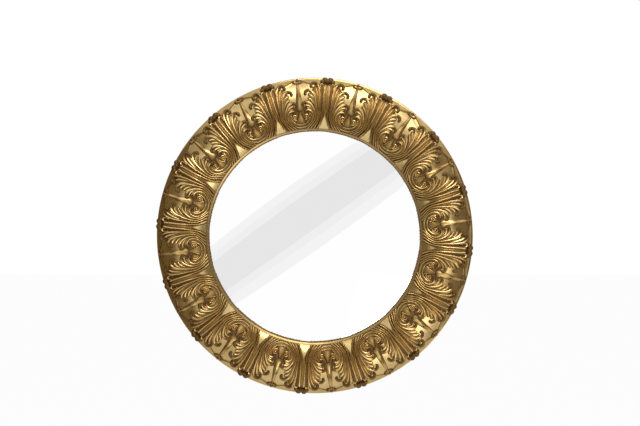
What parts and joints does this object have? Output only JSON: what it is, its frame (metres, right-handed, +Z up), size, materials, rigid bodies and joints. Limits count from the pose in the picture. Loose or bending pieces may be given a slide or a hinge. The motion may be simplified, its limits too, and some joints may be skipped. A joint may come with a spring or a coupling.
{
  "type": "convex wall mirror",
  "caption": "Round convex wall mirror in a wide gilded moulding of repeated acanthus leaves and darts, with strap hangers on its back.",
  "frame": {"origin": "centre of the back, in the plane of the moulding's flat wall side", "axes": "+Y from the mirror's face to the wall, +Z up as it hangs"},
  "size_m": [0.7586, 0.056, 0.7586],
  "materials": {
    "gilt_wood": "gilded, rubbed",
    "gilt_composition": "gilded, rubbed",
    "mirror_glass": "polished",
    "felt": "felt",
    "softwood": "sawn",
    "board": "smooth",
    "plated_steel": "zinc plated",
    "black_rubber": "matt"
  },
  "bodies": {
    "mirror": {"frame_ring": "gilt_wood", "acanthus_leaves": "gilt_composition", "dart_leaves": "gilt_composition", "convex_glass": "mirror_glass", "glazing_strip": "felt", "packing_blocks": "softwood", "backing_board": "board", "turn_button_screws": "plated_steel", "right_hanger_strap": "plated_steel", "left_hanger_strap": "plated_steel", "hanger_screws": "plated_steel", "wall_pads": "black_rubber"},
    "turn_button_1": {"turn_button_1": "plated_steel"},
    "turn_button_2": {"turn_button_2": "plated_steel"},
    "turn_button_3": {"turn_button_3": "plated_steel"},
    "turn_button_4": {"turn_button_4": "plated_steel"},
    "turn_button_5": {"turn_button_5": "plated_steel"},
    "turn_button_6": {"turn_button_6": "plated_steel"},
    "right_ring": {"right_hanger_ring": "plated_steel"},
    "left_ring": {"left_hanger_ring": "plated_steel"}
  },
  "joints": [
    {"name": "turn_button_1_pivot", "type": "hinge", "parent": "mirror", "child": "turn_button_1", "pos_m": [0.274, 0.0011, 0], "axis": [0, 1, 0], "continuous": true},
    {"name": "turn_button_2_pivot", "type": "hinge", "parent": "mirror", "child": "turn_button_2", "pos_m": [0.137, 0.0011, 0.23729], "axis": [0, 1, 0], "continuous": true},
    {"name": "turn_button_3_pivot", "type": "hinge", "parent": "mirror", "child": "turn_button_3", "pos_m": [-0.137, 0.0011, 0.23729], "axis": [0, 1, 0], "continuous": true},
    {"name": "turn_button_4_pivot", "type": "hinge", "parent": "mirror", "child": "turn_button_4", "pos_m": [-0.274, 0.0011, 0], "axis": [0, 1, 0], "continuous": true},
    {"name": "turn_button_5_pivot", "type": "hinge", "parent": "mirror", "child": "turn_button_5", "pos_m": [-0.137, 0.0011, -0.23729], "axis": [0, 1, 0], "continuous": true},
    {"name": "turn_button_6_pivot", "type": "hinge", "parent": "mirror", "child": "turn_button_6", "pos_m": [0.137, 0.0011, -0.23729], "axis": [0, 1, 0], "continuous": true},
    {"name": "right_ring_swing", "type": "hinge", "parent": "mirror", "child": "right_ring", "pos_m": [0.26049, 0.0024, 0.1824], "axis": [-1, 0, 0], "range_deg": [0, 175]},
    {"name": "left_ring_swing", "type": "hinge", "parent": "mirror", "child": "left_ring", "pos_m": [-0.26049, 0.0024, 0.1824], "axis": [-1, 0, 0], "range_deg": [0, 175]}
  ]
}
